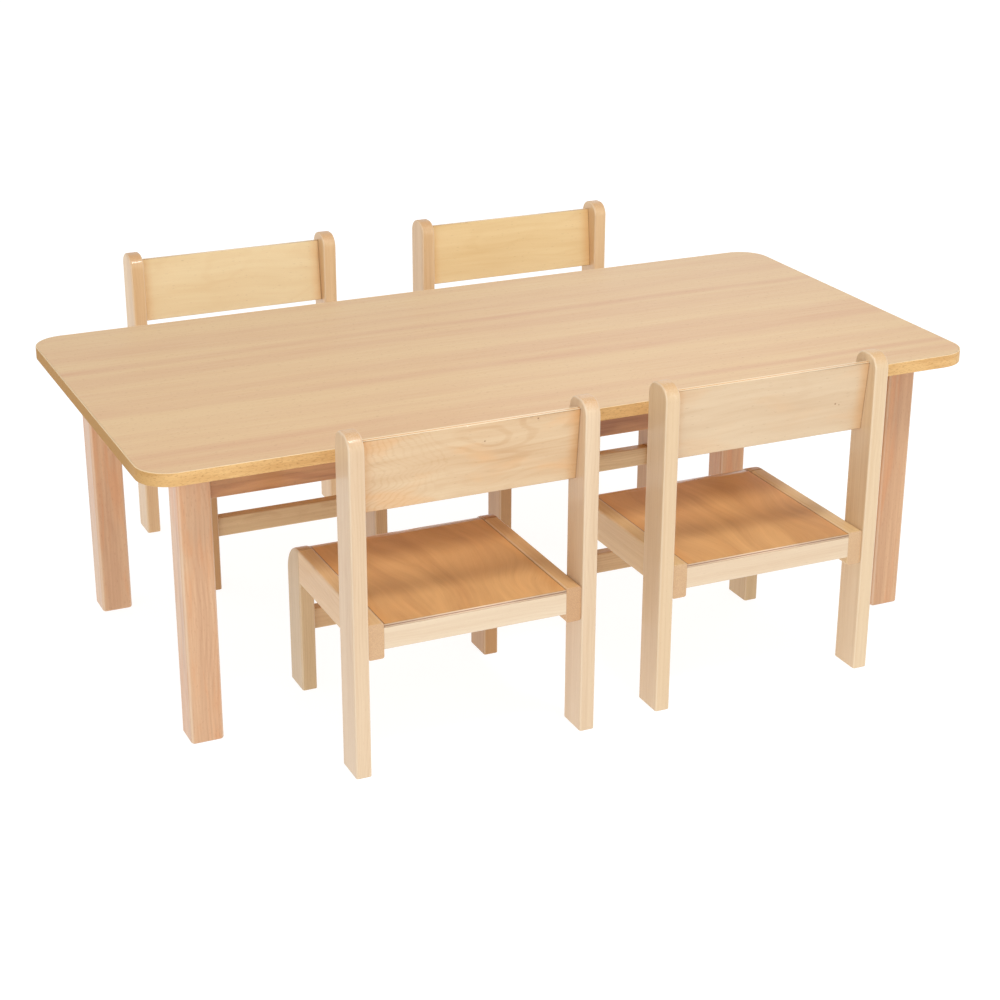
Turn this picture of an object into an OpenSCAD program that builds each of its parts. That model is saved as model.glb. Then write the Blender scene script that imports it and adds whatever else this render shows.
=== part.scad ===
// A low rectangular table for small children with four matching chairs, in millimetres.
// The table has a laminated top with an edge band, four square legs and four aprons.
// Each chair has two tall rear posts, two side rails, two short front legs, a bent plywood
// seat, a tilted plywood back, a low front stretcher and a rear apron, all joined by dowels.
// +X runs along the table, +Z is up, and the origin is on the floor in the middle of the set.

/* [Table] */
// Length of the table top
table_l = 1200; // [1150:10:1500]
// Width of the table top
table_w = 600; // [580:10:700]
// Height of the table
table_h = 400; // [380:5:460]
// Thickness of the table top
top_t = 18; // [18:1:25]
// Radius of the table top's corners in plan
top_corner_r = 45; // [30:5:90]
// Width and depth of a table leg
leg_w = 44; // [44:1:50]
// Distance from the table's edge to a leg's outer face
leg_inset = 55; // [45:1:65]
// Height of a table apron
apron_h = 48; // [44:1:60]

/* [Chair] */
// Width of a chair over its rear posts
chair_w = 334; // [310:2:350]
// Depth of a chair from its rear posts to its front legs
chair_d = 306; // [296:2:320]
// Height of the rear posts
chair_h = 456; // [446:2:500]
// Height of the side rails, which hold the seat
seat_h = 208; // [200:2:220]
// Radius of the front legs' top corner and of the seat's front bend
front_r = 44; // [24:2:44]
// Thickness of the solid wood boards
board_t = 21; // [20:1:24]
// Width of the solid wood boards
board_w = 48; // [46:1:50]
// Thickness of the seat plywood
seat_t = 5; // [4:0.5:6]
// Thickness of the back plywood
back_t = 8; // [6:1:10]
// Height of the back
back_h = 96; // [80:2:96]
// Backward tilt of the back, in degrees
back_tilt = 6; // [0:1:7]

/* [Places of the chairs] */
// Middle of the near left chair, from the middle of the table
near_left_x = -216; // [-260:1:-180]
// Middle of the near right chair
near_right_x = 214; // [180:1:260]
// Middle of the far left chair
far_left_x = -235; // [-260:1:-180]
// Middle of the far right chair
far_right_x = 251; // [180:1:260]
// How far the near left chair's back stands out from the table's edge
near_left_out = 117; // [60:1:300]
// How far the near right chair's back stands out
near_right_out = 109; // [60:1:300]
// How far the far left chair's back stands out
far_left_out = 215; // [60:1:300]
// How far the far right chair's back stands out
far_right_out = 221; // [60:1:300]

/* [Hidden] */
$fn = 48;
CHAIR_PIECES = [
    "rear_post_left", "rear_post_right", "side_rail_left", "side_rail_right",
    "front_leg_left", "front_leg_right", "front_stretcher", "rear_apron",
    "seat", "backrest", "dowels"
];
TABLE_PIECES = [
    "table_top_core", "table_top_laminate", "table_edge_band",
    "table_leg_near_left", "table_leg_near_right", "table_leg_far_left", "table_leg_far_right",
    "table_apron_near", "table_apron_far", "table_apron_left", "table_apron_right",
    "table_corner_blocks", "table_leg_bolts", "table_top_screws"
];
// Each chair's name, place along the table, side of the table and reach past its edge
CHAIRS = [
    ["near_left", near_left_x, -1, near_left_out],
    ["near_right", near_right_x, -1, near_right_out],
    ["far_left", far_left_x, 1, far_left_out],
    ["far_right", far_right_x, 1, far_right_out]
];

// The set's middle lies between its furthest near chair and its furthest far chair
table_y = (max(near_left_out, near_right_out) - max(far_left_out, far_right_out)) / 2;
sheet_t = 0.8;      // thickness of the laminate on each face of the core
band_t = 2;         // thickness of the edge band
leg_r = 5;          // rounding of the table legs' edges
apron_t = 20;       // thickness of a table apron
apron_recess = 8;   // from a leg's outer face in to the apron's outer face
edge_r = 3;         // rounding of the chair boards' long edges
fit = 0.05;         // room round a dowel, bolt or screw in its hole

// Table frame
under_top = table_h - top_t;
leg_out_x = table_l / 2 - leg_inset;
leg_out_y = table_w / 2 - leg_inset;
leg_in_x = leg_out_x - leg_w;
leg_in_y = leg_out_y - leg_w;
apron_z = under_top - apron_h;
bolt_z = under_top - apron_h / 2;
// how far the rounding takes a leg's inner edge back from a sharp corner, along X and Y
leg_touch = leg_r * (1 - 1 / sqrt(2));

// Corner blocks, leg bolts and top screws
block_t = 20;       // thickness of a corner block, along the diagonal
bolt_r = 4;
bolt_in_leg = 32;   // length of the bolt beyond the block
bolt_tail = 14;     // length of the bolt on the block's free side
washer_r = 9;
washer_t = 1.6;
nut_r = 7.5;
nut_t = 6.5;
screw_r = 2;
screw_head_r = 4;
screw_head_t = 3;
screw_well = 10;    // depth and radius of the well that sinks a top screw's head
screw_well_r = 4.5;
screw_bite = 12;    // how far a top screw goes into the top
screw_side = 24;    // from the leg bolt to a top screw, along the block

// Chair frame, in the chair's own place: +Y forward, the posts' rear faces at y = 0
post_out = chair_w / 2;
post_in = post_out - board_t;
rail_in = post_in - board_t;
rail_y = 3.5;                    // the side rails stop a little short of the posts' rear faces
front_leg_y = chair_d - board_w;
rail_z = seat_h - board_w;
bend_y = chair_d - front_r;      // centre of the front corner's curve, seen from the side
bend_z = seat_h - front_r;
post_top_r = 20;
seat_drop = 1.5;                 // the seat's top lies this far below the rails' tops
seat_bend = 70;                  // how far the seat's front edge turns down, in degrees
bend_r = front_r - seat_drop;    // outer radius of the seat's front bend
tongue_w = 4;                    // the seat's side tongues, housed in the rails
tongue_t = 2.5;
tongue_y0 = 14;
tongue_y1 = front_leg_y - 12;
seat_under = seat_h - seat_drop - seat_t;
back_y = 25;                     // rear face of the back at its lower edge
back_z = chair_h - back_h - 12;
back_house = 5;                  // depth of the grooves in the posts that hold the back
cross_t = 18;                    // thickness and height of the stretcher and rear apron
cross_h = 30;
cross_r = 2;
stretcher_y = chair_d - 30;
stretcher_z = 81;
dowel_r = 4;
dowel_l = 30;
dowel_gap = 1;                   // glue room at each end of a dowel

// Rectangle with its first corner at the origin and its corners rounded
module rounded_rect(w, d, r) {
    translate([r, 0]) square([w - 2 * r, d]);
    translate([0, r]) square([w, d - 2 * r]);
    for (x = [r, w - r], y = [r, d - r]) translate([x, y]) circle(r);
}

// The same, centred on the origin
module rounded_plan(w, d, r) {
    translate([-w / 2, -d / 2]) rounded_rect(w, d, r);
}

// Upright bar with rounded long edges
module bar_z(at, w, d, h, r) {
    translate(at) linear_extrude(h) rounded_rect(w, d, r);
}

// Level bar along Y with rounded long edges
module bar_y(at, w, l, h, r) {
    translate([at[0], at[1] + l, at[2]]) rotate([90, 0, 0]) linear_extrude(l) rounded_rect(w, h, r);
}

// Level bar along X with rounded long edges
module bar_x(at, l, d, h, r) {
    translate(at) rotate([90, 0, 90]) linear_extrude(l) rounded_rect(d, h, r);
}

// Rod along X or Y from a point
module rod_x(at, r, l) {
    translate(at) rotate([0, 90, 0]) cylinder(r = r, h = l);
}

module rod_y(at, r, l) {
    translate(at) rotate([-90, 0, 0]) cylinder(r = r, h = l);
}

// ---- Table ----

module table_place() {
    translate([0, table_y, 0]) children();
}

// Core outline inside the edge band
module core_plan() {
    rounded_plan(table_l - 2 * band_t, table_w - 2 * band_t, top_corner_r - band_t);
}

module table_top_core() {
    color([0.80, 0.68, 0.50]) table_place() difference() {
        translate([0, 0, under_top + sheet_t]) linear_extrude(top_t - 2 * sheet_t) core_plan();
        at_corners() screw_places() top_screw(fit);
    }
}

module table_top_laminate() {
    color([0.89, 0.77, 0.63]) table_place() difference() {
        for (z = [under_top, table_h - sheet_t]) translate([0, 0, z]) linear_extrude(sheet_t) core_plan();
        at_corners() screw_places() top_screw(fit);
    }
}

module table_edge_band() {
    color([0.87, 0.70, 0.42]) table_place() translate([0, 0, under_top]) linear_extrude(top_t) difference() {
        rounded_plan(table_l, table_w, top_corner_r);
        core_plan();
    }
}

// One leg, with sx and sy saying which corner it stands at
module table_leg(sx, sy) {
    color([0.84, 0.66, 0.51]) table_place() difference() {
        translate([sx > 0 ? leg_in_x : -leg_out_x, sy > 0 ? leg_in_y : -leg_out_y, 0])
            linear_extrude(under_top) rounded_rect(leg_w, leg_w, leg_r);
        at_corner(sx, sy) leg_bolt_shank(fit);
    }
}

// Long apron on the near (-1) or far (1) side
module long_apron(side) {
    outer = leg_out_y - apron_recess;
    color([0.76, 0.53, 0.40]) table_place()
        bar_x([-leg_in_x, side > 0 ? outer - apron_t : -outer, apron_z], 2 * leg_in_x, apron_t, apron_h, 1);
}

// Short apron on the left (-1) or right (1) end
module short_apron(side) {
    outer = leg_out_x - apron_recess;
    color([0.76, 0.53, 0.40]) table_place()
        bar_y([side > 0 ? outer - apron_t : -outer, -leg_in_y, apron_z], apron_t, 2 * leg_in_y, apron_h, 1);
}

// Puts its children at one corner of the frame, where +X runs diagonally out through the
// leg and x = 0 is the corner block's outer face, which touches the leg's rounded edge
module at_corner(sx, sy) {
    mirror([sx > 0 ? 0 : 1, 0, 0]) mirror([0, sy > 0 ? 0 : 1, 0])
        translate([leg_in_x + leg_touch, leg_in_y + leg_touch, 0]) rotate([0, 0, 45]) children();
}

module at_corners() {
    for (sx = [-1, 1], sy = [-1, 1]) at_corner(sx, sy) children();
}

// Two places for top screws on a corner block
module screw_places() {
    for (s = [-1, 1]) translate([-block_t / 2, s * screw_side, 0]) children();
}

module leg_bolt_shank(room) {
    rod_x([-block_t - bolt_tail, 0, bolt_z], bolt_r + room, block_t + bolt_tail + bolt_in_leg + room);
}

module top_screw(room) {
    low = apron_z + screw_well;
    translate([0, 0, low]) cylinder(r = screw_head_r + room, h = screw_head_t + room);
    translate([0, 0, low]) cylinder(r = screw_r + room, h = under_top + screw_bite - low + room);
}

// Trapezium between the two aprons and the leg, seen from above in the corner's own place
module block_plan() {
    // from the leg's inner faces to the aprons' inner faces, and half the block's outer face
    apron_face = leg_w - apron_recess - apron_t;
    reach = (apron_face - leg_touch) * sqrt(2);
    polygon([[0, -reach], [0, reach], [-block_t, reach + block_t], [-block_t, -reach - block_t]]);
}

module corner_block() {
    difference() {
        translate([0, 0, apron_z]) linear_extrude(apron_h) block_plan();
        leg_bolt_shank(fit);
        screw_places() top_screw(fit);
        screw_places() translate([0, 0, apron_z - 1]) cylinder(r = screw_well_r, h = screw_well + 1);
    }
}

module table_corner_blocks() {
    color([0.80, 0.64, 0.45]) table_place() at_corners() corner_block();
}

module table_leg_bolts() {
    color("silver") table_place() at_corners() {
        leg_bolt_shank(0);
        rod_x([-block_t - washer_t, 0, bolt_z], washer_r, washer_t);
        rod_x([-block_t - washer_t - nut_t, 0, bolt_z], nut_r, nut_t);
    }
}

module table_top_screws() {
    color("silver") table_place() at_corners() screw_places() top_screw(0);
}

// ---- Chair ----

module chair_place(c) {
    translate([c[1], c[2] * (table_w / 2 + c[3]) + table_y, 0]) rotate([0, 0, c[2] < 0 ? 0 : 180])
        children();
}

// First x of a board that starts at inner, on the left (-1) or right (1) of the chair
function board_x(side, inner) = side > 0 ? inner : -inner - board_t;

// The back plywood, which also cuts its own grooves in the posts
module back_panel() {
    w = 2 * (post_in + back_house);
    translate([-w / 2, back_y, back_z]) rotate([back_tilt, 0, 0]) cube([w, back_t, back_h]);
}

// Side view of a post, with both top corners rounded
module post_outline() {
    square([board_w, chair_h - post_top_r]);
    translate([post_top_r, 0]) square([board_w - 2 * post_top_r, chair_h]);
    for (y = [post_top_r, board_w - post_top_r]) translate([y, chair_h - post_top_r]) circle(post_top_r);
}

// Side view of a front leg, whose top curves down to the front
module front_leg_outline() {
    intersection() {
        square([board_w, seat_h]);
        union() {
            square([board_w, bend_z]);
            square([board_w - front_r, seat_h]);
            translate([board_w - front_r, bend_z]) circle(front_r, $fn = 96);
        }
    }
}

// A side view made into a slab that a board is cut to
module slab(x, y) {
    translate([x - 1, y, 0]) rotate([90, 0, 90]) linear_extrude(board_t + 2) children();
}

module rear_post(side) {
    x = board_x(side, post_in);
    color([0.91, 0.81, 0.67]) difference() {
        intersection() {
            bar_z([x, 0, 0], board_t, board_w, chair_h, edge_r);
            slab(x, 0) post_outline();
        }
        back_panel();
        dowel_set(fit, dowel_gap);
    }
}

module front_leg(side) {
    x = board_x(side, rail_in);
    color([0.87, 0.75, 0.60]) difference() {
        intersection() {
            bar_z([x, front_leg_y, 0], board_t, board_w, seat_h, edge_r);
            slab(x, front_leg_y) front_leg_outline();
        }
        dowel_set(fit, dowel_gap);
    }
}

module side_rail(side) {
    color([0.86, 0.70, 0.48]) difference() {
        bar_y([board_x(side, rail_in), rail_y, rail_z], board_t, front_leg_y - rail_y, board_w, edge_r);
        seat_tongues();
        dowel_set(fit, dowel_gap);
    }
}

module front_stretcher() {
    color([0.78, 0.65, 0.47]) difference() {
        bar_x([-rail_in, stretcher_y, stretcher_z], 2 * rail_in, cross_t, cross_h, cross_r);
        dowel_set(fit, dowel_gap);
    }
}

module rear_apron() {
    color([0.93, 0.83, 0.67]) difference() {
        bar_x([-rail_in, rail_y, seat_under - cross_h], 2 * rail_in, cross_t, cross_h, cross_r);
        dowel_set(fit, dowel_gap);
    }
}

// The lower half of the seat's side edges, held in stopped grooves in the rails
module seat_tongues() {
    w = 2 * (rail_in + tongue_w);
    translate([-w / 2, tongue_y0, seat_under]) cube([w, tongue_y1 - tongue_y0, tongue_t]);
}

// Side view of the seat: flat, then bent down along the front legs' curve
module seat_outline() {
    far = 2 * bend_r;
    translate([rail_y, seat_under]) square([bend_y - rail_y, seat_t]);
    translate([bend_y, bend_z]) intersection() {
        difference() {
            circle(bend_r, $fn = 96);
            circle(bend_r - seat_t, $fn = 96);
        }
        polygon([[0, 0], [0, far], [far, far], [far * sin(seat_bend), far * cos(seat_bend)]]);
    }
}

module seat() {
    color([0.80, 0.59, 0.35]) {
        translate([-rail_in, 0, 0]) rotate([90, 0, 90]) linear_extrude(2 * rail_in) seat_outline();
        seat_tongues();
    }
}

module backrest() {
    color([0.91, 0.79, 0.62]) back_panel();
}

// Every dowel of a chair, grown by room all round and by gap at each end
module dowel_set(room, gap) {
    half = dowel_l / 2 + gap;
    r = dowel_r + room;
    low_z = rail_z + 12;
    high_z = seat_under - 7;
    for (s = [-1, 1]) {
        for (z = [low_z, high_z]) {
            // post to side rail
            rod_x([s * post_in - half, board_w - 14, z], r, 2 * half);
            // side rail to front leg
            rod_y([s * (rail_in + board_t / 2), front_leg_y - half, z], r, 2 * half);
        }
        // side rail to rear apron
        rod_x([s * rail_in - half, rail_y + cross_t / 2, seat_under - cross_h / 2], r, 2 * half);
        // front leg to stretcher
        rod_x([s * rail_in - half, stretcher_y + cross_t / 2, stretcher_z + cross_h / 2], r, 2 * half);
    }
}

module dowels() {
    color([0.82, 0.70, 0.52]) dowel_set(0, 0);
}

module chair_piece(name) {
    if (name == "rear_post_left") rear_post(-1);
    if (name == "rear_post_right") rear_post(1);
    if (name == "side_rail_left") side_rail(-1);
    if (name == "side_rail_right") side_rail(1);
    if (name == "front_leg_left") front_leg(-1);
    if (name == "front_leg_right") front_leg(1);
    if (name == "front_stretcher") front_stretcher();
    if (name == "rear_apron") rear_apron();
    if (name == "seat") seat();
    if (name == "backrest") backrest();
    if (name == "dowels") dowels();
}

table_top_core();
table_top_laminate();
table_edge_band();
table_leg(-1, -1);  // table_leg_near_left
table_leg(1, -1);  // table_leg_near_right
table_leg(-1, 1);  // table_leg_far_left
table_leg(1, 1);  // table_leg_far_right
long_apron(-1);  // table_apron_near
long_apron(1);  // table_apron_far
short_apron(-1);  // table_apron_left
short_apron(1);  // table_apron_right
table_corner_blocks();
table_leg_bolts();
table_top_screws();
for (c = CHAIRS, p = CHAIR_PIECES)
    chair_place(c) chair_piece(p);
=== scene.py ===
"""Looks, floor, light and camera for a low table with four small chairs.

Every board is built here as a closed mesh with rounded edges, inside its CAD node's box. Each
vertex keeps its place in the board, along and across the grain, in the attribute "wood". Each face
says in "end" how far it cuts across the grain or the plies, in "arris" how near it is to the
middle of a rounded edge, where solid wood gets a painted highlight, and in "shade" how much
browner its board is made: by chance or by its own tone, and as painted shade for boards that
stand in shade under the table and the seats.
"""

import math
import random

import bmesh
import bpy
from mathutils import Matrix, Vector


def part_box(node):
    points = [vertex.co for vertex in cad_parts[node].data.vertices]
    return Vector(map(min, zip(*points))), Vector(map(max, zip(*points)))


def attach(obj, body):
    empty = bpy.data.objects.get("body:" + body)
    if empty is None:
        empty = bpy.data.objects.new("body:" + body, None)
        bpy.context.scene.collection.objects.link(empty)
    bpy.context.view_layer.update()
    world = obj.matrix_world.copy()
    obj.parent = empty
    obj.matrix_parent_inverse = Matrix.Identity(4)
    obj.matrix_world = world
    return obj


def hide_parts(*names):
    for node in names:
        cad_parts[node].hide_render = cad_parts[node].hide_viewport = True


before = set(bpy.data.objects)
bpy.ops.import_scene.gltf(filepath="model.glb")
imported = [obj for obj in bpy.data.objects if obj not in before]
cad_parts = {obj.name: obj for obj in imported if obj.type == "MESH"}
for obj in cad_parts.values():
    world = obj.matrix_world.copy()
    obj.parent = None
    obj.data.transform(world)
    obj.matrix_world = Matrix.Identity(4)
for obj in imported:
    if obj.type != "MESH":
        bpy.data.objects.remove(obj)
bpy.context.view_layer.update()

X, Y, Z = range(3)
MM = 0.001

# Shapes that a node's box doesn't give
POST_TOP_R = 20 * MM
BOARD_EDGE_R = 3 * MM
JOINT_EASE = 0.4 * MM
FOOT_EASE = 1.0 * MM
FRONT_R = 44 * MM            # the front legs' top corner
SEAT_T = 5 * MM
SEAT_DROP = 1.5 * MM
SEAT_BEND = math.radians(70)
BACK_T = 8 * MM
BACK_TILT = math.radians(6)
BACK_HOUSED = 4.5 * MM
TOP_CORNER_R = 45 * MM
BAND_T = 2 * MM
BAND_ARRIS = 1.0 * MM
BAND_GAP = 0.05 * MM
ARRIS_TILT = 0.35            # a band face that points up more than this is on its upper arris
SHEET_T = 0.8 * MM
LEG_EDGE_R = 5 * MM
LEG_FOOT_R = 3 * MM
APRON_EDGE_R = 1 * MM
SLIM_EDGE_R = 2 * MM         # the chairs' stretchers and rear aprons
PLY_EDGE_R = 1.0 * MM
SEAT_EDGE_R = 0.5 * MM
SEAT_CLEAR = 0.5 * MM        # between the seat and each rail
BACK_CORE_T = 1.8 * MM       # the darker middle layer of a back

# The four chairs, and the table's legs too, are named by where they stand
PLACES = ("near_left", "near_right", "far_left", "far_right")

# Each board is cut from another place in long stock, at another distance from the tree's heart
STOCK_LENGTH = 6
FROM_HEART = (25 * MM, 90 * MM)

# How much browner a board may be by chance, and the boards made browner: the table's near right
# leg and the near left chair's right rail by their own tone, the others as painted shade, for they
# stand in shade under the table and the seats
BROWNER_BY_CHANCE = 0.18
BROWNER_AND_SHADED = {
    "table_leg_near_right": 0.35,
    "table_leg_far_right": 0.6,
    "near_left_side_rail_right": 0.5,
    "near_left_front_leg_right": 1.0,
    "far_left_front_leg_left": 0.8,
    "far_left_front_leg_right": 1.0,
    "far_right_front_leg_left": 1.0,
    "far_right_front_leg_right": 1.0,
}


# ---- Node helpers ----

def tone(red, green, blue):
    """A screen colour, 0 to 255 a channel, as the linear colour that a shader takes."""
    linear = [c / 3294.6 if c < 10.31 else ((c / 255 + 0.055) / 1.055) ** 2.4 for c in (red, green, blue)]
    return (*linear, 1.0)


class Tree:
    """One material and short calls for its nodes."""

    def __init__(self, name):
        self.material = bpy.data.materials.new(name)
        self.material.use_nodes = True
        self.nodes = self.material.node_tree.nodes
        self.links = self.material.node_tree.links
        self.shader = self.nodes["Principled BSDF"]

    def feed(self, socket, value):
        if isinstance(value, bpy.types.NodeSocket):
            self.links.new(value, socket)
        else:
            socket.default_value = value

    def node(self, kind, inputs=None, **settings):
        made = self.nodes.new("ShaderNode" + kind)
        for key, value in settings.items():
            setattr(made, key, value)
        for key, value in (inputs or {}).items():
            self.feed(made.inputs[key], value)
        return made

    def math(self, operation, a, b=0.0, clamp=False):
        return self.node("Math", {0: a, 1: b}, operation=operation, use_clamp=clamp).outputs[0]

    def add(self, a, b):
        return self.math("ADD", a, b)

    def times(self, a, b):
        return self.math("MULTIPLY", a, b)

    def vector_attribute(self, name):
        return self.node("Attribute", attribute_name=name).outputs["Vector"]

    def number_attribute(self, name):
        return self.node("Attribute", attribute_name=name).outputs["Fac"]

    def split(self, vector):
        return self.node("SeparateXYZ", {0: vector}).outputs[:3]

    def join(self, x, y, z):
        return self.node("CombineXYZ", {0: x, 1: y, 2: z}).outputs[0]

    def stretch(self, vector, *scales):
        return self.node("VectorMath", {0: vector, 1: scales}, operation="MULTIPLY").outputs[0]

    def noise(self, vector, detail=2.0, roughness=0.5, distortion=0.0):
        inputs = {"Vector": vector, "Scale": 1.0, "Detail": detail, "Roughness": roughness,
                  "Distortion": distortion}
        return self.node("TexNoise", inputs).outputs["Fac"]

    def ramp(self, value, low, high, to_low=0.0, to_high=1.0, smooth=True):
        """value from low..high to to_low..to_high, clamped."""
        kind = "SMOOTHSTEP" if smooth else "LINEAR"
        inputs = {"Value": value, "From Min": low, "From Max": high, "To Min": to_low, "To Max": to_high}
        return self.node("MapRange", inputs, interpolation_type=kind).outputs["Result"]

    def mix(self, amount, a, b, blend="MIX"):
        made = self.node("Mix", data_type="RGBA", blend_type=blend)
        self.feed(made.inputs[0], amount)
        self.feed(made.inputs[6], a)
        self.feed(made.inputs[7], b)
        return made.outputs[2]

    def bump(self, height, strength, distance):
        inputs = {"Height": height, "Strength": strength, "Distance": distance}
        self.feed(self.shader.inputs["Normal"], self.node("Bump", inputs).outputs[0])

    def finish(self, colour, roughness, coat=0.0, coat_roughness=0.2):
        self.feed(self.shader.inputs["Base Color"], colour)
        self.feed(self.shader.inputs["Roughness"], roughness)
        self.shader.inputs["Coat Weight"].default_value = coat
        self.shader.inputs["Coat Roughness"].default_value = coat_roughness
        return self.material


# ---- Wood and laminate ----

LAMINATE_PALE = (223, 188, 139)
LAMINATE_DEEP = (205, 149, 112)
BAND_PALE = (229, 187, 127)
BAND_DEEP = (203, 154, 95)
# painted shade on the edge strip along the table's left side
BAND_LEFT_SHADE = (182, 133, 60)
FLAME = (220, 152, 98)
PATCH = (232, 172, 108)
KNOT = (138, 82, 46)
# painted shade: the warm darker tone near where a board enters its neighbours
JOINT_PAINTED_SHADE = (224, 158, 84)
JOINT_LINE = (126, 78, 42)
# brown multiply for browner boards, partly own tone, partly painted shade
BROWN_TONE_AND_SHADE = (226, 196, 158)
# painted highlight along the rounded edges of solid wood
ARRIS_PAINTED_HIGHLIGHT = (250, 236, 212)
# how far that painted shade near a joint reaches
JOINT_SHADE_REACH = 20 * MM


def fibres(t, grain, along=28, across=900):
    """Fine lines along the grain, about a millimetre apart."""
    return t.noise(t.stretch(grain, along, across, across), detail=2.0, roughness=0.6)


def lines(t, grain, along=2.5, across=230):
    """Soft lines along the grain, a few millimetres apart."""
    return t.ramp(t.noise(t.stretch(grain, along, across, across), detail=2.0), 0.3, 0.7)


def dashes(t, grain, size, share=0.06):
    """Short dark pores along the grain; share is how much of the surface they take."""
    spots = t.noise(t.stretch(grain, size[0], size[1], size[1]), detail=1.0)
    return t.ramp(spots, 0.74 - share, 0.80 - share)


def total(t, *parts):
    """Sum of (value, weight) pairs, clamped to 0..1."""
    amount = 0.0
    for value, weight in parts:
        amount = t.add(amount, t.times(value, weight))
    return t.math("ADD", amount, 0.0, clamp=True)


def solid_wood(name, pale, deep, end, streaks=0.5, rings=0.3, spacing=3.5 * MM, pores=0.3,
               pore_tone=(150, 100, 70), pore_size=(150, 900), pore_share=0.06, warm=0.0,
               roughness=0.42, coat=0.4):
    """Lacquered solid wood: soft streaks, growth rings round a centre, fibres and pores.

    warm is how strong its orange flames are.
    """
    t = Tree(name)
    grain = t.vector_attribute("wood")
    _, y, z = t.split(grain)
    broad = t.noise(t.stretch(grain, 2.2, 42, 42), detail=3.0, roughness=0.55)
    warp = t.noise(t.stretch(grain, 4.5, 16, 16), detail=2.0)
    radius = t.math("SQRT", t.add(t.times(y, y), t.times(z, z)))
    radius = t.add(radius, t.times(warp, 34 * MM))
    wave = t.math("SINE", t.times(radius, 2 * math.pi / spacing))
    patchy = t.ramp(t.noise(t.stretch(grain, 3, 18, 18), detail=1.0), 0.35, 0.7)
    ring = t.times(t.ramp(wave, -0.1, 1.0), patchy)
    fine = fibres(t, grain)
    amount = total(t, (t.ramp(broad, 0.3, 0.7), streaks), (ring, rings), (lines(t, grain), 0.25),
                   (t.add(fine, -0.5), 0.5))
    colour = t.mix(amount, tone(*pale), tone(*deep))
    flame = t.noise(t.stretch(grain, 7, 60, 60), detail=3.0, distortion=0.6)
    colour = t.mix(t.ramp(flame, 0.46, 0.66, 0.0, warm), colour, tone(*FLAME))
    pore = dashes(t, grain, pore_size, pore_share)
    colour = t.mix(t.times(pore, pores), colour, tone(*pore_tone))
    cut = t.number_attribute("end")
    dots = t.ramp(t.noise(t.stretch(grain, 60, 700, 700), detail=2.0), 0.3, 0.7, 0.45, 1.0)
    colour = t.mix(t.times(t.ramp(cut, 0.25, 1.0), dots), colour, tone(*end))
    # painted shade: boards standing in shade under the table and seats, and boards with their own browner
    # tone, are multiplied browner by their "shade"
    browner = t.mix(1.0, colour, tone(*BROWN_TONE_AND_SHADE), "MULTIPLY")
    colour = t.mix(t.number_attribute("shade"), colour, browner)
    # painted highlight: rounded edges lightened toward cream
    colour = t.mix(t.times(t.number_attribute("arris"), 0.3), colour, tone(*ARRIS_PAINTED_HIGHLIGHT))
    t.bump(t.add(t.times(fine, 0.6), t.times(pore, -0.5)), 0.25, 0.15 * MM)
    return t.finish(colour, t.ramp(fine, 0.2, 0.8, roughness - 0.06, roughness + 0.08), coat, 0.14)


def plies(t, grain, thickness, count, tones, core=0.0):
    """Colour of the layers that a plywood edge shows, with thin glue lines.

    Every second layer has another tone, or only a core of the given thickness.
    """
    depth = t.split(grain)[2]
    step = t.times(depth, count / thickness)
    odd = t.math("MODULO", t.math("FLOOR", step), 2.0)
    if core:
        away = t.math("ABSOLUTE", t.add(depth, -thickness / 2))
        odd = t.ramp(away, 0.4 * core, 0.6 * core, 1.0, 0.0)
    line = t.math("ABSOLUTE", t.add(t.math("FRACT", step), -0.5))
    colour = t.mix(odd, tone(*tones[0]), tone(*tones[1]))
    patchy = t.noise(t.stretch(grain, 50, 50, 600), detail=2.0)
    colour = t.mix(t.times(patchy, 0.2), colour, tone(*tones[2]))
    return t.mix(t.ramp(line, 0.42, 0.48, 0.0, 0.45), colour, tone(*tones[2]))


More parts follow.
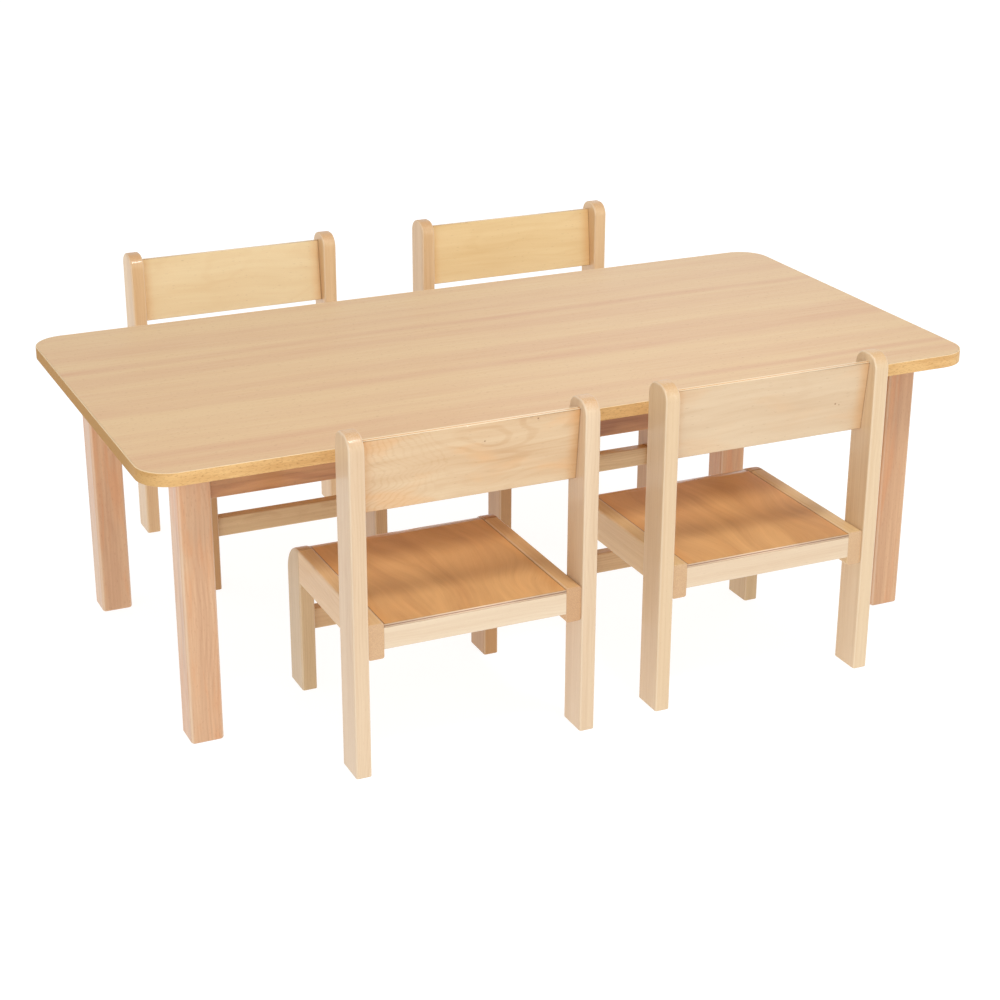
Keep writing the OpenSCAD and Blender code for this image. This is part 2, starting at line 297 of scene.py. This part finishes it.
def ply_wood(name, pale, deep, edge_tones, thickness, count, figure=0.3, density=13,
             figure_size=(5.0, 15.0), waves=None, sway=6 * MM, core=0.0, joint=(X, 1.0, 0.0), knots=(),
             warm=0.0, pores=0.25, pore_size=(110, 800), pore_tone=(140, 90, 55), roughness=0.38,
             coat=0.3, coat_roughness=0.15):
    """Peeled veneer with wandering contour lines, over layers that show at the edges.

    waves is (from, to, turns): between these places along the board the lines stand across it,
    bowed at the board's middle.
    sway is how far the grain wanders sideways, and core is as in plies. joint is the direction
    and the distance from the middle at which the board enters its neighbours, and how dark the
    line there is; near that place the board also gets a warm painted shade. warm is how strong its orange
    patches are.
    """
    t = Tree(name)
    grain = t.vector_attribute("wood")
    x, y, _ = t.split(grain)
    wander = t.noise(t.join(t.times(x, 4.5), t.times(y, 7.0), 0.0), detail=1.0)
    face = t.join(x, t.add(y, t.times(wander, 4 * sway)), 0.0)
    broad = t.noise(t.stretch(face, 3.0, 26.0, 0), detail=3.0)
    field = t.noise(t.stretch(face, *figure_size, 0), detail=2.0, distortion=0.4)
    if waves:
        bow = t.times(t.math("ABSOLUTE", t.add(y, -50 * MM)), 0.5)
        jagged = t.times(t.noise(t.stretch(face, 25, 60, 0), detail=2.0), 22 * MM)
        place = t.add(t.add(x, bow), jagged)
        field = t.add(field, t.ramp(place, waves[0], waves[1], 0.0, waves[2] / density, smooth=False))
    contour = t.ramp(t.math("SINE", t.times(field, 2 * math.pi * density)), 0.1, 1.0)
    patchy = t.ramp(t.noise(t.stretch(face, 4, 12, 0), detail=1.0), 0.35, 0.65, 0.2, 1.0)
    fine = fibres(t, face, along=22, across=700)
    amount = total(t, (t.ramp(broad, 0.3, 0.7), 0.55), (t.times(contour, patchy), figure),
                   (lines(t, face, 3.5, 120), 0.2), (t.add(fine, -0.5), 0.3))
    colour = t.mix(amount, tone(*pale), tone(*deep))
    patch = t.ramp(t.noise(t.stretch(face, 9, 24, 0), detail=3.0), 0.48, 0.66, 0.0, warm)
    colour = t.mix(patch, colour, tone(*PATCH))
    pore = dashes(t, face, pore_size, 0.045)
    colour = t.mix(t.times(pore, pores), colour, tone(*pore_tone))
    for knot_x, knot_y, size in knots:
        flat = t.join(x, y, 0.0)
        away = t.node("VectorMath", {0: flat, 1: (knot_x, knot_y, 0.0)}, operation="DISTANCE")
        dark_spot = t.ramp(away.outputs["Value"], size * 0.3, size * 1.6, 0.8, 0.0)
        colour = t.mix(dark_spot, colour, tone(*KNOT))
    axis, half, dark = joint
    inside = t.add(t.math("ABSOLUTE", (x, y)[axis]), -half)
    # painted shade: warmer and darker near where the board enters its neighbours
    colour = t.mix(t.ramp(inside, -JOINT_SHADE_REACH, 0.0, 0.0, 0.3), colour, tone(*JOINT_PAINTED_SHADE))
    colour = t.mix(t.ramp(inside, -1.5 * MM, -0.5 * MM, 0.0, dark), colour, tone(*JOINT_LINE))
    edge = t.number_attribute("end")
    layers = plies(t, grain, thickness, count, edge_tones, core)
    colour = t.mix(t.ramp(edge, 0.3, 0.7), colour, layers)
    flat = t.math("SUBTRACT", 1.0, edge)
    t.bump(t.times(t.add(t.times(fine, 0.5), t.times(pore, -0.5)), flat), 0.2, 0.12 * MM)
    return t.finish(colour, t.ramp(fine, 0.2, 0.8, roughness - 0.05, roughness + 0.06), coat, coat_roughness)


# Along the edge strip, in metres: the middle of the table's left side, and how far from there
# its painted shade, a browner tone, starts to fade and ends
LEFT_RUN = 0.86
LEFT_SHADE_FADE = (0.22, 0.36)

# Soft darker bands along the table top: distance from its middle line and half width, in
# metres, and depth of tone
TOP_BANDS = (
    (0.190, 0.040, 0.20), (0.125, 0.016, 0.50), (0.085, 0.040, 0.25), (-0.070, 0.024, 0.42),
    (-0.035, 0.040, 0.18), (-0.232, 0.020, 0.42), (-0.270, 0.030, 0.20),
)


def laminate():
    """Printed beech: long soft bands, fine lines and tiny flecks under a satin film."""
    t = Tree("top_laminate")
    grain = t.vector_attribute("wood")
    _, y, _ = t.split(grain)
    drift = t.times(t.add(t.noise(t.stretch(grain, 1.6, 6, 0), detail=2.0), -0.5), 0.05)
    across = t.add(y, drift)
    bands = 0.0
    for middle, half, depth in TOP_BANDS:
        away = t.math("ABSOLUTE", t.add(across, -middle))
        bands = t.add(bands, t.ramp(away, 0.0, half, depth, 0.0))
    fade = t.ramp(t.noise(t.stretch(grain, 2.6, 11, 0), detail=3.0), 0.3, 0.7, 0.35, 1.0)
    broad = t.ramp(t.noise(t.stretch(grain, 1.0, 22, 0), detail=4.0, roughness=0.6), 0.3, 0.75)
    fine = t.noise(t.stretch(grain, 9, 300, 0), detail=2.0, roughness=0.6)
    amount = total(t, (t.times(bands, fade), 1.15), (broad, 0.35), (t.add(fine, -0.5), 0.4))
    colour = t.mix(amount, tone(*LAMINATE_PALE), tone(*LAMINATE_DEEP))
    fleck = dashes(t, grain, (130, 480), 0.08)
    colour = t.mix(t.times(fleck, 0.4), colour, tone(176, 122, 80))
    t.bump(t.noise(t.stretch(grain, 900, 900, 0), detail=1.0), 0.12, 0.05 * MM)
    return t.finish(colour, t.ramp(fine, 0.2, 0.8, 0.36, 0.44), 0.15, 0.25)


def edge_band():
    """Glued edge strip: golden ochre with fine flecks, with painted shade along the table's left side.

    Here the attribute "end" marks the upper arris, which gets a painted highlight.
    """
    t = Tree("edge_band")
    grain = t.vector_attribute("wood")
    run, _, _ = t.split(grain)
    # painted shade: the strip is browner along the table's left side
    left = t.ramp(t.math("ABSOLUTE", t.add(run, -LEFT_RUN)), *LEFT_SHADE_FADE, 1.0, 0.0)
    broad = t.noise(t.stretch(grain, 14, 130, 0), detail=3.0)
    fine = t.noise(t.stretch(grain, 60, 800, 0), detail=2.0, roughness=0.6)
    amount = total(t, (t.ramp(broad, 0.3, 0.7), 0.6), (t.add(fine, -0.5), 0.8))
    colour = t.mix(amount, tone(*BAND_PALE), tone(*BAND_DEEP))
    colour = t.mix(left, colour, tone(*BAND_LEFT_SHADE))
    fleck = dashes(t, grain, (190, 800), 0.16)
    colour = t.mix(t.times(fleck, 0.4), colour, tone(164, 112, 56))
    arris = t.number_attribute("end")
    # painted highlight: the upper arris lightened toward cream
    colour = t.mix(t.times(arris, 0.6), colour, tone(250, 228, 192))
    t.bump(t.add(fine, t.times(fleck, -0.6)), 0.2, 0.1 * MM)
    t.shader.inputs["Specular IOR Level"].default_value = 0.2
    return t.finish(colour, t.ramp(fine, 0.2, 0.8, 0.5, 0.6))


# ---- Hidden core, blocks, dowels and steel ----

def particle_board():
    """Pressed chips of mixed shade."""
    t = Tree("top_core")
    place = t.node("TexCoord").outputs["Object"]
    chips = t.node("TexVoronoi", {"Vector": t.stretch(place, 260, 420, 900), "Scale": 1.0})
    shade = t.split(chips.outputs["Color"])[0]
    colour = t.mix(shade, tone(214, 184, 138), tone(168, 128, 84))
    t.bump(chips.outputs["Distance"], 0.5, 0.4 * MM)
    return t.finish(colour, t.ramp(shade, 0.0, 1.0, 0.75, 0.95))


def block_wood(middle_y):
    """Raw wood of the diagonal corner blocks, its grain along each block."""
    t = Tree("block_wood")
    place = t.node("TexCoord").outputs["Object"]
    x, y, z = t.split(place)
    x, y = t.math("ABSOLUTE", x), t.math("ABSOLUTE", t.add(y, -middle_y))
    grain = t.join(t.times(t.math("SUBTRACT", x, y), 0.7071), t.times(t.add(x, y), 0.7071), z)
    broad = t.noise(t.stretch(grain, 6, 60, 60), detail=3.0)
    fine = fibres(t, grain)
    amount = t.add(t.ramp(broad, 0.3, 0.7, 0.1, 0.8), t.times(t.add(fine, -0.5), 0.6))
    colour = t.mix(t.math("ADD", amount, 0.0, clamp=True), tone(222, 188, 140), tone(188, 144, 98))
    t.bump(fine, 0.4, 0.25 * MM)
    return t.finish(colour, t.ramp(fine, 0.2, 0.8, 0.6, 0.75))


def dowel_wood():
    """Plain raw wood without a grain direction."""
    t = Tree("dowel_wood")
    place = t.node("TexCoord").outputs["Object"]
    fine = t.noise(t.stretch(place, 700, 700, 700), detail=3.0)
    broad = t.noise(t.stretch(place, 60, 60, 60), detail=1.0)
    colour = t.mix(t.add(t.times(fine, 0.6), t.times(broad, 0.4)), tone(226, 196, 152), tone(186, 142, 98))
    t.bump(fine, 0.4, 0.2 * MM)
    return t.finish(colour, t.ramp(fine, 0.2, 0.8, 0.55, 0.7))


def steel():
    """Bright, slightly clouded metal for bolts and screws."""
    t = Tree("steel")
    place = t.node("TexCoord").outputs["Object"]
    cloud = t.noise(t.stretch(place, 300, 300, 300), detail=3.0)
    fine = t.noise(t.stretch(place, 3000, 3000, 3000), detail=1.0)
    colour = t.mix(t.ramp(cloud, 0.3, 0.7), tone(206, 207, 205), tone(178, 178, 172))
    t.shader.inputs["Metallic"].default_value = 1.0
    t.bump(fine, 0.2, 0.05 * MM)
    return t.finish(colour, t.ramp(cloud, 0.3, 0.7, 0.28, 0.42))


# ---- Mesh helpers ----

def arc(centre, radius, start, turn, steps):
    """Points on an arc, with start and turn in quarter turns."""
    angles = [(start + turn * k / steps) * math.pi / 2 for k in range(steps + 1)]
    return [(centre[0] + radius * math.cos(a), centre[1] + radius * math.sin(a)) for a in angles]


def rounded_outline(low, high, radius, steps=6):
    """Anticlockwise rectangle with rounded corners."""
    x0, y0, x1, y1 = low[0] + radius, low[1] + radius, high[0] - radius, high[1] - radius
    corners = ((x1, y0, 3), (x1, y1, 0), (x0, y1, 1), (x0, y0, 2))
    return [p for x, y, start in corners for p in arc((x, y), radius, start, 1, steps)]


def push(bm, outline, axis, low, high):
    """Adds a closed solid: an outline in the other two axes, pushed along one axis."""
    def at(point, along):
        where = list(point)
        where.insert(axis, along)
        return bm.verts.new(where)

    rings = [[at(p, along) for p in outline] for along in (low, high)]
    for k in range(len(outline)):
        after = (k + 1) % len(outline)
        bm.faces.new((rings[0][k], rings[0][after], rings[1][after], rings[1][k]))
    for ring in rings:
        bm.faces.new(ring)
    bmesh.ops.recalc_face_normals(bm, faces=bm.faces)
    return bm


def is_at(edge, axis, *values):
    """Whether an edge lies in a plane across the axis."""
    return any(all(abs(v.co[axis] - value) < 1e-6 for v in edge.verts) for value in values)


def ease(bm, edges, radius, steps):
    """Rounds edges off."""
    bmesh.ops.bevel(bm, geom=edges, offset=radius, segments=steps, profile=0.5, affect="EDGES",
                    clamp_overlap=True)


def bar(low, high, axis, edge=BOARD_EDGE_R, start=JOINT_EASE, stop=JOINT_EASE):
    """A board along one axis with rounded long edges and eased ends."""
    others = [i for i in range(3) if i != axis]
    outline = rounded_outline([low[i] for i in others], [high[i] for i in others], edge)
    bm = push(bmesh.new(), outline, axis, low[axis], high[axis])
    for value, radius in ((low[axis], start), (high[axis], stop)):
        ease(bm, [e for e in bm.edges if is_at(e, axis, value)], radius, 3)
    return bm


# ---- Pieces ----

def grain_of(axis, low, high, seed):
    """Where a point of a solid board lies in its tree, with the board at a chance angle."""
    chance = random.Random(seed)
    others = [i for i in range(3) if i != axis]
    middle = [(low[i] + high[i]) / 2 for i in others]
    turn = Matrix.Rotation(chance.uniform(0, math.tau), 2)
    start = chance.uniform(0, STOCK_LENGTH)
    heart = chance.uniform(*FROM_HEART)

    def lay(point):
        across = turn @ Vector([point[i] - m for i, m in zip(others, middle)])
        return Vector((point[axis] + start, across[0] + heart, across[1]))
    return lay


def add_grain(mesh, spots, end, arris, shade):
    """Writes the attributes that the wood materials read."""
    wood = mesh.attributes.new("wood", "FLOAT_VECTOR", "POINT")
    wood.data.foreach_set("vector", [c for spot in spots for c in spot])
    for name, values in (("end", [end(f.center, f.normal) for f in mesh.polygons]),
                         ("arris", [arris(f.normal) for f in mesh.polygons]),
                         ("shade", [shade] * len(mesh.polygons))):
        mesh.attributes.new(name, "FLOAT", "FACE").data.foreach_set("value", values)


def put(bm, node, body, place, material, lay, end, arris=lambda _: 0.0, smooth=True, spots=None):
    """Makes a piece that stands for a CAD node and moves with its body."""
    mesh = bpy.data.meshes.new(node + "_look")
    bm.to_mesh(mesh)
    bm.free()
    mesh.polygons.foreach_set("use_smooth", [smooth] * len(mesh.polygons))
    # how much browner the board is: by chance, or listed as own tone or as painted shade
    shade = BROWNER_AND_SHADED.get(node, random.Random(node + "shade").uniform(0.0, BROWNER_BY_CHANCE))
    add_grain(mesh, spots or [lay(v.co) for v in mesh.vertices], end, arris, shade)
    mesh.materials.append(material)
    piece = bpy.data.objects.new(node + "_look", mesh)
    piece.matrix_world = place
    bpy.context.scene.collection.objects.link(piece)
    if smooth:
        piece.modifiers.new("flat_faces", "WEIGHTED_NORMAL").weight = 90
    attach(piece, body)
    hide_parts(node)


def put_board(bm, node, body, place, material, axis, box):
    """A solid board, its grain along one axis."""
    lay = grain_of(axis, *box, seed=node)
    side = Z if axis == X else X             # a rounded long edge turns away from this direction

    def arris(normal):
        share = normal[side] ** 2
        return (4 * share * (1 - share)) ** 2
    put(bm, node, body, place, material, lay, lambda _, normal: abs(normal[axis]), arris)


def span(node, place):
    """A CAD node's lowest and highest corners as seen from a place."""
    ends = [place.inverted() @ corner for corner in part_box(node)]
    return [Vector([pick(e[i] for e in ends) for i in range(3)]) for pick in (min, max)]


def keep(node, material):
    """Gives a CAD node that stays a better material."""
    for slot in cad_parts[node].material_slots:
        slot.material = material


# ---- Table ----

def top_rim(box, inset, steps=16):
    """The table top's outline in plan, moved in from its edge."""
    low, high = box
    return rounded_outline((low.x + inset, low.y + inset), (high.x - inset, high.y - inset),
                           TOP_CORNER_R - inset, steps)


def build_sheets(box, place):
    """The laminate above the core and the backing sheet below it."""
    low, high = box
    bm = bmesh.new()
    for z in (low.z, high.z - SHEET_T):
        push(bm, top_rim(box, BAND_T), Z, z, z + SHEET_T)
    put(bm, "table_top_laminate", "table", place, laminate(),
        lambda p: p, lambda *_: 0.0, smooth=False)


def build_band(box, place):
    """One strip bent round the top, with its ends butted at the middle of the far side."""
    low, high = box
    r = BAND_ARRIS
    section = [(BAND_T, low.z), *arc((r, low.z + r), r, 3, -1, 4),
               *arc((r, high.z - r), r, 2, -1, 4), (BAND_T, high.z)]
    bm = bmesh.new()
    stations = []
    for inset, z in section:
        rim = top_rim(box, inset)
        half = len(rim) // 2
        path = [(-BAND_GAP, high.y - inset), *rim[half:], *rim[:half], (BAND_GAP, high.y - inset)]
        stations.append([bm.verts.new((x, y, z)) for x, y in path])
    columns = list(zip(*stations))
    for one, two in zip(columns, columns[1:]):
        for k in range(len(section)):
            after = (k + 1) % len(section)
            bm.faces.new((one[k], one[after], two[after], two[k]))
    for column in (columns[0], columns[-1]):
        bm.faces.new(column)
    bmesh.ops.recalc_face_normals(bm, faces=bm.faces)
    outer = [column[len(section) // 2].co for column in columns]
    run = [0.0]
    for one, two in zip(outer, outer[1:]):
        run.append(run[-1] + (two - one).length)
    spots = [Vector((along, z, inset)) for inset, z in section for along in run]
    put(bm, "table_edge_band", "table", place, edge_band(), lambda _: None,
        lambda _, normal: float(normal.z > ARRIS_TILT), spots=spots)


def build_table():
    low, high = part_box("table_edge_band")
    place = Matrix.Translation(((low.x + high.x) / 2, (low.y + high.y) / 2, 0))
    top = span("table_edge_band", place)
    build_sheets(top, place)
    build_band(top, place)
    leg = solid_wood("table_leg_wood", (225, 186, 146), (195, 147, 110), (190, 135, 98), streaks=0.5,
                     rings=0.25, spacing=5 * MM, warm=0.45, pores=0.3, pore_tone=(184, 128, 92),
                     pore_size=(170, 750), pore_share=0.11)
    for where in PLACES:
        node = "table_leg_" + where
        box = span(node, place)
        bm = bar(*box, Z, edge=LEG_EDGE_R, start=LEG_FOOT_R)
        put_board(bm, node, "table", place, leg, Z, box)
    apron = solid_wood("table_apron_wood", (200, 147, 93), (158, 102, 58), (175, 120, 84), rings=0.4,
                       spacing=7 * MM, warm=0.25, pores=0.5)
    for where, axis in (("near", X), ("far", X), ("left", Y), ("right", Y)):
        node = "table_apron_" + where
        box = span(node, place)
        bm = bar(*box, axis, edge=APRON_EDGE_R)
        put_board(bm, node, "table", place, apron, axis, box)
    metal = steel()
    keep("table_top_core", particle_board())
    keep("table_corner_blocks", block_wood(place.translation.y))
    keep("table_leg_bolts", metal)
    keep("table_top_screws", metal)


# ---- Chairs ----

def upright(box, crown):
    """A standing board with rounded edges and a nearly sharp foot; crown is its top in side view."""
    low, high = box
    bm = push(bmesh.new(), [(low.y, low.z), (high.y, low.z), *crown], X, low.x, high.x)
    rim = [e for e in bm.edges if is_at(e, X, low.x, high.x) and not is_at(e, Z, low.z)]
    ease(bm, rim, BOARD_EDGE_R, 5)
    ease(bm, [e for e in bm.edges if is_at(e, Z, low.z)], FOOT_EASE, 2)
    return bm


def post(box):
    """A rear post: both of its top corners are rounded."""
    low, high = box
    top = high.z - POST_TOP_R
    return upright(box, [*arc((high.y - POST_TOP_R, top), POST_TOP_R, 0, 1, 14),
                         *arc((low.y + POST_TOP_R, top), POST_TOP_R, 1, 1, 14)])


def front_leg(box):
    """A front leg: its top curves down to the front."""
    low, high = box
    return upright(box, [*arc((high.y - FRONT_R, high.z - FRONT_R), FRONT_R, 0, 1, 20),
                         (low.y, high.z)])


def cut_through(lay, step=0.1 * MM):
    """How far each face cuts through the plies, whose depth is the third value of lay."""
    def edge(middle, normal):
        return 1 - abs(lay(middle + normal * step).z - lay(middle).z) / step
    return edge


def build_seat(chair, place, right_rail, right_leg, material):
    """The bent plywood between the rails, given the boxes of the boards at its right."""
    low, high = right_rail
    half = low.x - SEAT_CLEAR
    top = high.z - SEAT_DROP
    rear, bend_y, bend_z = low.y, right_leg[1].y - FRONT_R, right_leg[1].z - FRONT_R
    outer = FRONT_R - SEAT_DROP
    turn = SEAT_BEND / (math.pi / 2)
    outline = [(rear, top - SEAT_T), (rear, top), *arc((bend_y, bend_z), outer, 1, -turn, 16),
               *arc((bend_y, bend_z), outer - SEAT_T, 1 - turn, turn, 16)]
    bm = push(bmesh.new(), outline, X, -half, half)
    ends = [e for e in bm.edges if is_at(e, Y, rear) and not is_at(e, X, -half, half)]
    ease(bm, ends, SEAT_EDGE_R, 2)
    start = random.Random(chair + "seat").uniform(0, STOCK_LENGTH)

    def lay(p):
        if p.y <= bend_y:
            return Vector((p.y + start, p.x, top - p.z))
        angle = math.atan2(p.y - bend_y, p.z - bend_z)
        radius = math.hypot(p.y - bend_y, p.z - bend_z)
        return Vector((bend_y + angle * outer + start, p.x, outer - radius))

    put(bm, chair + "_seat", chair + "_chair", place, material, lay, cut_through(lay))


def build_back(chair, place, right_post, material):
    """The tilted plywood back, its ends housed in the posts."""
    low, high = span(chair + "_backrest", place)
    half = right_post[0].x + BACK_HOUSED
    lean = Matrix.Rotation(BACK_TILT, 2)     # turns (y, z) so that the top leans back
    foot = Vector((high.y - BACK_T * math.cos(BACK_TILT), low.z))
    tall = (high.z - low.z - BACK_T * math.sin(BACK_TILT)) / math.cos(BACK_TILT)
    outline = [foot + lean @ Vector(p) for p in ((0, 0), (BACK_T, 0), (BACK_T, tall), (0, tall))]
    bm = push(bmesh.new(), [tuple(p) for p in outline], X, -half, half)
    ease(bm, [e for e in bm.edges if not is_at(e, X, -half, half)], PLY_EDGE_R, 3)

    def lay(p):
        flat = lean.transposed() @ (Vector((p.y, p.z)) - foot)
        return Vector((p.x, flat[1], flat[0]))

    put(bm, chair + "_backrest", chair + "_chair", place, material, lay, cut_through(lay))


def build_chair(chair, looks):
    """One chair, built facing +Y from the middle of its rear edge, then turned to its place."""
    low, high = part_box(chair + "_rear_post_left")
    seat_low, seat_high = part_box(chair + "_seat")
    forward = 1 if seat_high.y > high.y else -1
    rear = low.y if forward > 0 else high.y
    place = Matrix.Translation(((seat_low.x + seat_high.x) / 2, rear, 0))
    if forward < 0:
        place = place @ Matrix.Rotation(math.pi, 4, "Z")
    body = chair + "_chair"

    def board(part, slot, make, axis):
        node = chair + "_" + part
        box = span(node, place)
        put_board(make(box), node, body, place, looks[slot], axis, box)

    for side in ("left", "right"):
        board("rear_post_" + side, "post_wood", post, Z)
        board("side_rail_" + side, "rail_wood", lambda box: bar(*box, Y), Y)
        board("front_leg_" + side, "front_leg_wood", front_leg, Z)
    board("front_stretcher", "stretcher_wood", lambda box: bar(*box, X, edge=SLIM_EDGE_R), X)
    board("rear_apron", "rear_apron_wood", lambda box: bar(*box, X, edge=SLIM_EDGE_R), X)
    right_rail = span(chair + "_side_rail_right", place)
    right_leg = span(chair + "_front_leg_right", place)
    build_seat(chair, place, right_rail, right_leg, looks["seat_ply"])
    right_post = span(chair + "_rear_post_right", place)
    build_back(chair, place, right_post, looks["back_ply"])
    keep(chair + "_dowels", looks["dowel_wood"])


def gap_between(left, right):
    """The clear width between two boards of one chair."""
    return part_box(right)[0].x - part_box(left)[1].x


def chair_looks():
    """The finishes of each chair: the near ones are pale, the far ones more golden."""
    seat_side = gap_between("near_left_side_rail_left", "near_left_side_rail_right") / 2 - SEAT_CLEAR
    post_side = gap_between("near_left_rear_post_left", "near_left_rear_post_right") / 2
    shared = {
        "front_leg_wood": solid_wood("front_leg_wood", (209, 181, 138), (186, 153, 108), (200, 155, 112),
                                     streaks=0.4, rings=0.3, pores=0.2),
        "stretcher_wood": solid_wood("stretcher_wood", (217, 185, 138), (189, 150, 101), (190, 145, 100),
                                     streaks=0.5, rings=0.3),
        "rear_apron_wood": solid_wood("rear_apron_wood", (232, 212, 183), (217, 189, 156), (207, 167, 123),
                                      streaks=0.3, rings=0.2, pores=0.1),
        "seat_ply": ply_wood("seat_ply", (228, 176, 114), (192, 137, 83),
                             ((238, 210, 176), (178, 136, 108), (172, 126, 98)), SEAT_T, 3, figure=0.12,
                             density=8, figure_size=(3.5, 10.0), sway=34 * MM, joint=(Y, seat_side, 0.8),
                             warm=0.25, pores=0.15, roughness=0.34, coat=0.5, coat_roughness=0.12),
        "dowel_wood": dowel_wood(),
    }

    def post_wood(name, pale, deep, end):
        return solid_wood(name, pale, deep, end, streaks=0.4, rings=0.2, pores=0.1)

    def rail_wood(name, pale, deep):
        return solid_wood(name, pale, deep, (203, 163, 124), streaks=0.35, rings=0.15, pores=0.12)

    posts = dict.fromkeys(PLACES, post_wood("post_wood_far", (232, 199, 153), (212, 172, 124),
                                            (208, 160, 110)))
    posts["near_left"] = post_wood("post_wood", (229, 204, 171), (211, 179, 142), (212, 168, 119))
    posts["near_right"] = post_wood("post_wood_yellow", (230, 205, 169), (213, 182, 141), (212, 169, 116))
    rails = dict.fromkeys(PLACES, rail_wood("rail_wood", (233, 199, 150), (212, 172, 122)))
    rails["near_right"] = rail_wood("rail_wood_yellow", (232, 202, 152), (211, 175, 123))

    def back(name, pale, deep, **details):
        edges = ((250, 228, 192), (222, 160, 92), (206, 160, 112))
        return ply_wood(name, pale, deep, edges, BACK_T, 5, core=BACK_CORE_T,
                        joint=(X, post_side, 0.5), **details)

    backs = {
        "near_left": back("back_ply_figured", (224, 196, 157), (200, 157, 111), figure=0.32, density=16,
                          figure_size=(3.6, 15.0), waves=(-0.12, -0.02, 10.0), warm=0.35,
                          knots=((0.017, 0.072, 0.0010), (0.088, 0.092, 0.0011))),
        "near_right": back("back_ply_plain", (222, 197, 162), (204, 170, 132), figure=0.12, density=8,
                           warm=0.12, pores=0.3, pore_size=(90, 800),
                           knots=((0.100, 0.043, 0.0012), (0.106, 0.041, 0.0008))),
        "far_left": back("back_ply_yellow", (241, 220, 176), (231, 201, 152), figure=0.2, density=8,
                         figure_size=(6.0, 16.0), sway=10 * MM),
        "far_right": back("back_ply_gold", (241, 214, 162), (227, 192, 134), figure=0.2, density=8,
                          figure_size=(3.5, 18.0)),
    }
    return {chair: dict(shared, back_ply=backs[chair], post_wood=posts[chair], rail_wood=rails[chair])
            for chair in PLACES}


# ---- Stage ----

FLOOR_R = 30.0
FLOOR_GLOW = 0.90            # keeps the pale floor white under the soft light
FLOOR_TONES = ((0.19, 0.20, 0.21, 1), (0.21, 0.22, 0.23, 1))

# The sky's strength falls from the horizon up: height of the view direction, and strength
SKY_HEIGHTS = (0.02, 0.20)
SKY_STRENGTHS = (1.0, 0.68)

# Soft round lamps: name, place, aim, diameter and power
LAMPS = (
    ("key", (1.7, -3.4, 1.9), (0, 0, 0.25), 0.6, 3),
    ("fill", (-2.2, -3.2, 1.6), (0, 0, 0.25), 1.4, 15),
    ("rear", (2.2, 3.2, 1.9), (0, 0, 0.3), 1.6, 3),
    ("overhead", (0.25, -1.55, 3.05), (0, -0.2, 0.3), 0.75, 37),
)

CAMERA_AT = (-1.1814, -2.6285, 1.3024)
CAMERA_DOWN = 0.3918         # radians below level
CAMERA_TURN = -0.4216        # radians from looking along +Y
LENS = 75.13
SENSOR = 36.0
CAMERA_SHIFT = (0.0196, 0.0200)


def build_floor():
    """A wide pale disc."""
    bm = bmesh.new()
    bmesh.ops.create_circle(bm, cap_ends=True, radius=FLOOR_R, segments=96)
    mesh = bpy.data.meshes.new("floor")
    bm.to_mesh(mesh)
    bm.free()
    t = Tree("floor")
    place = t.node("TexCoord").outputs["Object"]
    cloud = t.noise(t.stretch(place, 1.5, 1.5, 1.5), detail=2.0)
    mesh.materials.append(t.finish(t.mix(cloud, *FLOOR_TONES), 0.9))
    t.shader.inputs["Emission Color"].default_value = (1.0, 1.0, 1.0, 1.0)
    t.shader.inputs["Emission Strength"].default_value = FLOOR_GLOW
    floor = bpy.data.objects.new("floor", mesh)
    bpy.context.scene.collection.objects.link(floor)


def area_light(name, at, aim, size, power):
    """A round lamp that points at aim."""
    data = bpy.data.lights.new(name, "AREA")
    data.shape, data.size, data.energy = "DISK", size, power
    lamp = bpy.data.objects.new(name, data)
    lamp.location = at
    lamp.rotation_euler = (Vector(aim) - Vector(at)).to_track_quat("-Z", "Y").to_euler()
    bpy.context.scene.collection.objects.link(lamp)


def build_light():
    """A white sky and the lamps."""
    world = bpy.data.worlds.new("studio")
    bpy.context.scene.world = world
    world.use_nodes = True
    background = world.node_tree.nodes["Background"]
    place = world.node_tree.nodes.new("ShaderNodeTexCoord")
    split = world.node_tree.nodes.new("ShaderNodeSeparateXYZ")
    height = world.node_tree.nodes.new("ShaderNodeMapRange")
    for key, value in zip(("From Min", "From Max", "To Min", "To Max"), (*SKY_HEIGHTS, *SKY_STRENGTHS)):
        height.inputs[key].default_value = value
    world.node_tree.links.new(place.outputs["Generated"], split.inputs[0])
    world.node_tree.links.new(split.outputs["Z"], height.inputs["Value"])
    world.node_tree.links.new(height.outputs["Result"], background.inputs["Strength"])
    background.inputs["Color"].default_value = (1.0, 1.0, 1.0, 1.0)
    for lamp in LAMPS:
        area_light(*lamp)
    bpy.context.scene.view_settings.view_transform = "Standard"
    bpy.context.scene.view_settings.look = "None"


def build_camera():
    data = bpy.data.cameras.new("camera")
    data.lens, data.sensor_width = LENS, SENSOR
    data.shift_x, data.shift_y = CAMERA_SHIFT
    data.clip_end = 200.0
    camera = bpy.data.objects.new("camera", data)
    camera.location = CAMERA_AT
    camera.rotation_euler = (math.pi / 2 - CAMERA_DOWN, 0, CAMERA_TURN)
    bpy.context.scene.collection.objects.link(camera)
    bpy.context.scene.camera = camera


build_camera()
build_light()
build_floor()
build_table()
for chair, looks in chair_looks().items():
    build_chair(chair, looks)
